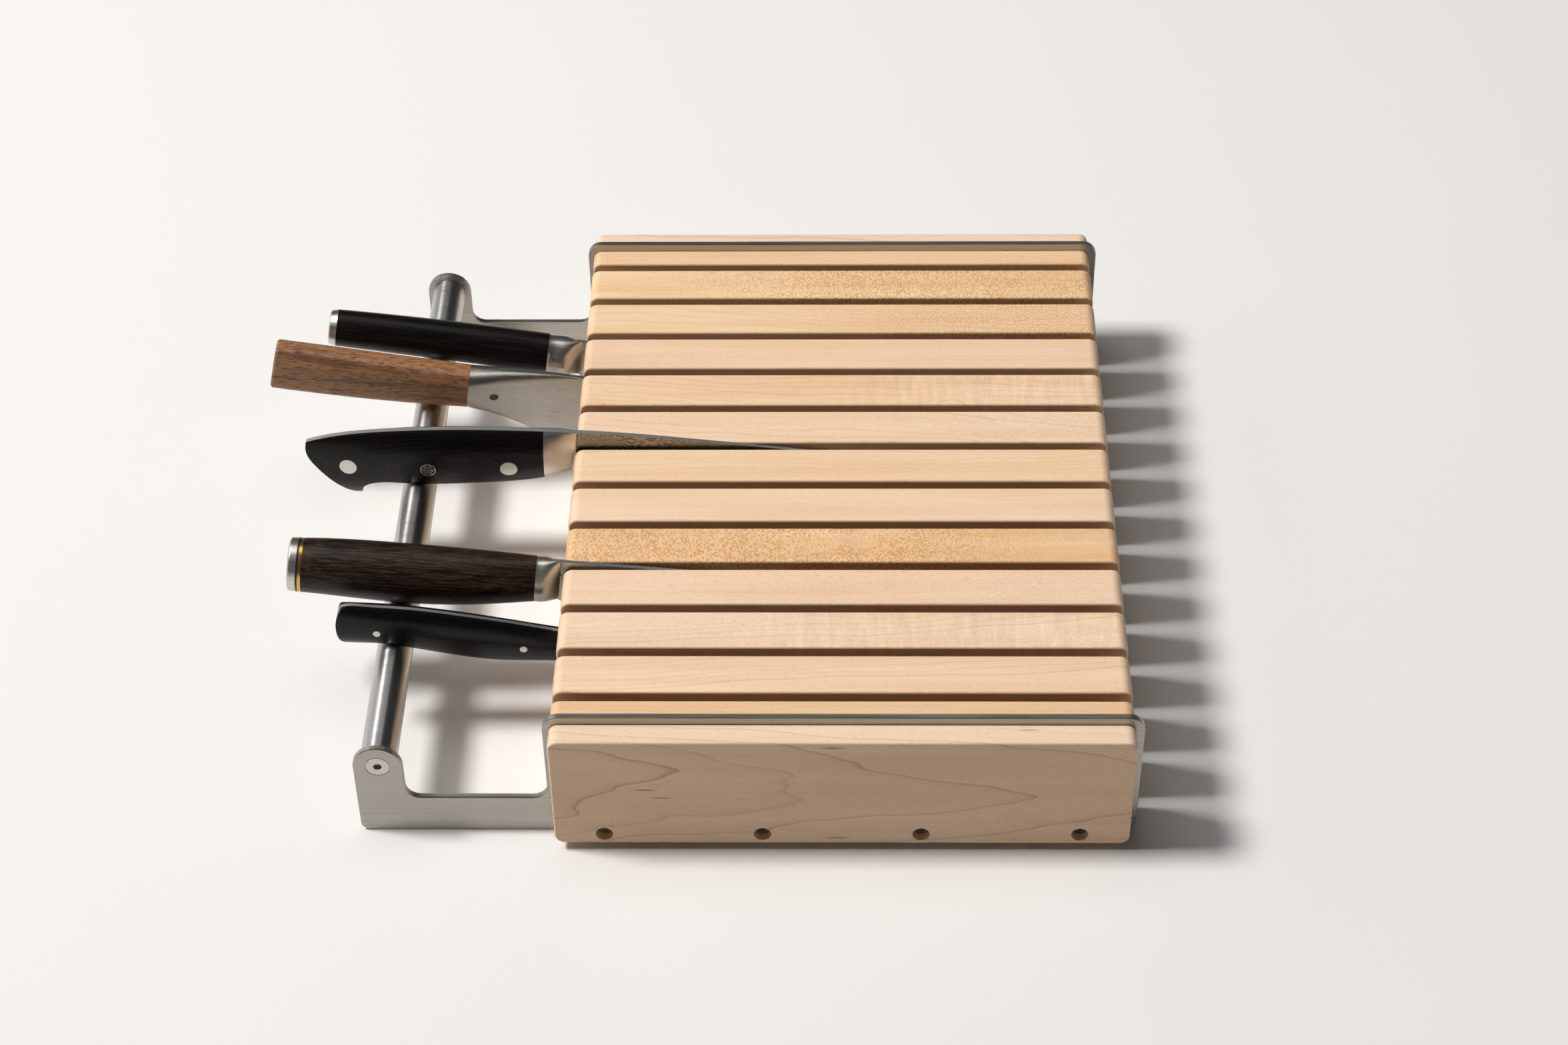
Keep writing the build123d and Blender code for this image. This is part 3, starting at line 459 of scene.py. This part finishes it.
# ---- Chef's knife ----
# The blade is forged from folded steels and etched, so its layers show; the full tang shows
# all round the handle. Black laminate scales are held by two rivets and a mosaic pin.
chef_tilt = 1.7
chef_origin = knife_origin(slat=7, tilt=chef_tilt, handle_depth=0.032)

folded, tree = new_finish("etched_folded_steel")
place = own_millimetres(tree, chef_origin, chef_tilt)
swirl = add(tree, "VectorMath", {0: place, 1: (0.02, 0.3, 0.07)}, operation="MULTIPLY")
swirls = add(tree, "TexNoise", {
    "Vector": swirl, "Scale": 1.0, "Detail": 3.0, "Roughness": 0.5, "Distortion": 0.6})
layer = add(tree, "Math", {0: swirls, 1: 52.0}, operation="MULTIPLY")
lengthwise = add(tree, "SeparateXYZ", {"Vector": place})
depth = add(tree, "SeparateXYZ", {"Vector": place}, out="Z")
layer = add(tree, "Math", {0: depth, 1: 0.8, 2: layer}, operation="MULTIPLY_ADD")
layer = add(tree, "Math", {0: layer, 1: 1.0}, operation="PINGPONG")
etched = add(tree, "MapRange", {0: layer, 1: 0.35, 2: 0.65}, interpolation_type="SMOOTHSTEP")
# the etch is on the blade's two sides only; spine and tang are ground bright
sideways = add(tree, "SeparateXYZ", {"Vector": add(tree, "TexCoord", out="Normal")}, out="Y")
sideways = add(tree, "Math", {0: sideways}, operation="ABSOLUTE")
sideways = add(tree, "MapRange", {0: sideways, 1: 0.90, 2: 0.96})
on_blade = add(tree, "MapRange", {0: lengthwise, 1: 0.6, 2: 1.0})
sideways = add(tree, "Math", {0: sideways, 1: on_blade}, operation="MULTIPLY")
etched = add(tree, "Math", {0: etched, 1: sideways}, operation="MULTIPLY")
fine = add(tree, "VectorMath", {0: place, 1: (0.08, 3.0, 3.0)}, operation="MULTIPLY")
lines = add(tree, "TexNoise", {"Vector": fine, "Scale": 1.0, "Detail": 3.0})
ground = add(tree, "Mix", {0: lines, 6: linear("#CFCCC7"), 7: linear("#E4E1DB")}, out=2, data_type="RGBA")
bright = add(tree, "Mix", {0: sideways, 6: ground, 7: linear("#99928A")}, out=2, data_type="RGBA")
colour = add(tree, "Mix", {0: etched, 6: bright, 7: linear("#6F675E")}, out=2, data_type="RGBA")
# the etch dulls the sides, the tang's edges are only finished with a fine belt
rough = add(tree, "MapRange", {0: lines, 3: 0.38, 4: 0.46})
rough = add(tree, "Math", {0: sideways, 1: -0.12, 2: rough}, operation="MULTIPLY_ADD")
height = add(tree, "Math", {0: 1.0, 1: etched}, operation="SUBTRACT")
close_finish(tree, {"Base Color": colour, "Metallic": 1.0, "Roughness": rough}, height, 0.00002)
coat(folded, "chef_blade")
coat(polished_steel("polished_chef_bolster", chef_origin, chef_tilt, 0.28), "chef_bolster")
coat(polished_steel("polished_chef_rivet", chef_origin, chef_tilt, 0.3), "chef_rivets")

# Black laminate: layers of dyed cloth in resin, 0.8 mm apart, seen as contours on the swell.
laminate, tree = new_finish("black_cloth_laminate")
place = own_millimetres(tree, chef_origin, chef_tilt)
side = add(tree, "SeparateXYZ", {"Vector": place}, out="Y")
wobble = add(tree, "TexNoise", {"Vector": place, "Scale": 0.10, "Detail": 2.0})
layer = add(tree, "Math", {0: wobble, 1: 1.3, 2: side}, operation="MULTIPLY_ADD")
layer = add(tree, "Math", {0: layer, 1: 0.42}, operation="PINGPONG")
layer = add(tree, "MapRange", {0: layer, 1: 0.30, 2: 0.42})
weave = add(tree, "TexNoise", {"Vector": place, "Scale": 2.2, "Detail": 2.0})
seen = add(tree, "Math", {0: layer, 1: weave}, operation="MULTIPLY")
colour = add(tree, "Mix", {0: seen, 6: linear("#070707"), 7: linear("#2E221B")}, out=2, data_type="RGBA")
rough = add(tree, "MapRange", {0: weave, 1: 0.3, 2: 0.7, 3: 0.26, 4: 0.36})
close_finish(tree, {"Base Color": colour, "Roughness": rough, "Specular IOR Level": 0.25}, weave, 0.00002)
coat(laminate, "chef_near_scale", "chef_far_scale")

# Mosaic pin: a steel tube filled with black resin and seven small steel tubes.
mosaic, tree = new_finish("steel_and_resin_mosaic")
place = own_millimetres(tree, chef_origin, chef_tilt)
pin_back, pin_down = 76.8, 21.0     # mm from where the spine meets the boards
centred = add(tree, "VectorMath", {0: place, 1: (pin_back, 0, pin_down)}, operation="ADD")
centred = add(tree, "VectorMath", {0: centred, 1: (1, 0, 1)}, operation="MULTIPLY")
radius = add(tree, "VectorMath", {0: centred}, out="Value", operation="LENGTH")
outer_tube_bore = 3.45
small_tubes = 7                     # six in a ring and one in the middle
ring_radius, tube_radius, tube_half_wall = 2.15, 0.62, 0.28
steel = add(tree, "Math", {0: radius, 1: outer_tube_bore}, operation="GREATER_THAN")
for turn in range(small_tubes):
    step = radians(60 * turn)
    reach = 0.0 if turn == small_tubes - 1 else ring_radius
    middle = (-reach * cos(step), 0, -reach * sin(step))
    tube = add(tree, "VectorMath", {0: centred, 1: middle}, operation="ADD")
    tube = add(tree, "VectorMath", {0: tube}, out="Value", operation="LENGTH")
    tube = add(tree, "Math", {0: tube, 1: tube_radius, 2: tube_half_wall}, operation="COMPARE")
    steel = add(tree, "Math", {0: steel, 1: tube}, operation="MAXIMUM")
colour = add(tree, "Mix", {0: steel, 6: linear("#141312"), 7: linear("#D5D2CC")}, out=2, data_type="RGBA")
rough = add(tree, "MapRange", {0: steel, 3: 0.34, 4: 0.24})
close_finish(tree, {"Base Color": colour, "Metallic": steel, "Roughness": rough})
coat(mosaic, "chef_mosaic_pin")


# ---- Gyuto ----
# A heavy rounded handle of dark wenge with a steel cap, a black and a brass ring at the butt,
# and a satin bolster in front. Rings and cap are pressed on the tang and ground flush.
gyuto_tilt = 6.5
gyuto_origin = knife_origin(slat=4, tilt=gyuto_tilt, handle_depth=0.033)
coat(ground_blade_steel("ground_gyuto_blade", gyuto_origin, gyuto_tilt), "gyuto_blade")
coat(polished_steel("satin_gyuto_bolster", gyuto_origin, gyuto_tilt, 0.32), "gyuto_bolster")
coat(polished_steel("satin_gyuto_cap", gyuto_origin, gyuto_tilt, 0.3), "gyuto_end_cap")

# Wenge: near-black heartwood with tan parenchyma streaks 0.5 mm wide and 20 mm long.
wenge, tree = new_finish("oiled_wenge")
place = own_millimetres(tree, gyuto_origin, gyuto_tilt)
streak = add(tree, "VectorMath", {0: place, 1: (0.04, 1.1, 1.1)}, operation="MULTIPLY")
streaks = add(tree, "TexNoise", {
    "Vector": streak, "Scale": 1.0, "Detail": 4.0, "Roughness": 0.62, "Distortion": 0.25})
tone = add(tree, "MapRange", {0: streaks, 1: 0.47, 2: 0.64})
patch = add(tree, "VectorMath", {0: place, 1: (0.012, 0.07, 0.07)}, operation="MULTIPLY")
patches = add(tree, "TexNoise", {"Vector": patch, "Scale": 1.0, "Detail": 1.0})
patches = add(tree, "MapRange", {0: patches, 1: 0.3, 2: 0.62, 3: 0.35, 4: 1.0})
tone = add(tree, "Math", {0: tone, 1: patches}, operation="MULTIPLY")
colour = add(tree, "ValToRGB", {0: tone}, stops=[
    (0.0, linear("#0F0906")), (1.0, linear("#7A5A40")), (0.4, linear("#22160F"))])
rough = add(tree, "MapRange", {0: streaks, 1: 0.3, 2: 0.7, 3: 0.36, 4: 0.5})
close_finish(tree, {"Base Color": colour, "Roughness": rough, "Specular IOR Level": 0.25}, streaks, 0.00012)
coat(wenge, "gyuto_handle")

# Brass: warm yellow, polished flush with the wood, with faint lines round it.
coat(brushed_steel("polished_brass_ring", "#D9AE5C", "#E8C478", "#B98C3F", grain=(3.0, 0.3, 0.3),
                   roughness=0.22, relief=0.000003, origin=gyuto_origin, tilt=gyuto_tilt,
                   spread=0.05), "gyuto_gold_ring")
fibre, tree = new_finish("black_vulcanised_fibre")
place = own_millimetres(tree, gyuto_origin, gyuto_tilt)
mottle = add(tree, "TexNoise", {"Vector": place, "Scale": 3.0, "Detail": 2.0})
colour = add(tree, "Mix", {0: mottle, 6: linear("#0F0E0E"), 7: linear("#1E1C1B")}, out=2, data_type="RGBA")
rough = add(tree, "MapRange", {0: mottle, 3: 0.35, 4: 0.5})
close_finish(tree, {"Base Color": colour, "Roughness": rough}, mottle, 0.00001)
coat(fibre, "gyuto_black_ring")


# ---- Paring knife ----
# A small knife with glossy black moulded scales on a full tang, two small rivets, and the
# tang showing as a thin bright line along the top.
paring_tilt = 10.0
paring_origin = knife_origin(slat=3, tilt=paring_tilt, handle_depth=0.0194)
coat(ground_blade_steel("ground_paring_blade", paring_origin, paring_tilt), "paring_blade")
coat(polished_steel("polished_paring_rivet", paring_origin, paring_tilt, 0.25), "paring_rivets")

# Black acetal: moulded and buffed, with the hairlines of use along the handle.
acetal, tree = new_finish("buffed_black_acetal")
place = own_millimetres(tree, paring_origin, paring_tilt)
hair = add(tree, "VectorMath", {0: place, 1: (0.12, 2.4, 2.4)}, operation="MULTIPLY")
hairs = add(tree, "TexNoise", {"Vector": hair, "Scale": 1.0, "Detail": 3.0})
colour = add(tree, "Mix", {0: hairs, 6: linear("#070708"), 7: linear("#101011")}, out=2, data_type="RGBA")
rough = add(tree, "MapRange", {0: hairs, 1: 0.3, 2: 0.7, 3: 0.18, 4: 0.30})
close_finish(tree, {"Base Color": colour, "Roughness": rough, "Specular IOR Level": 0.25}, hairs, 0.00001)
coat(acetal, "paring_near_scale", "paring_far_scale")
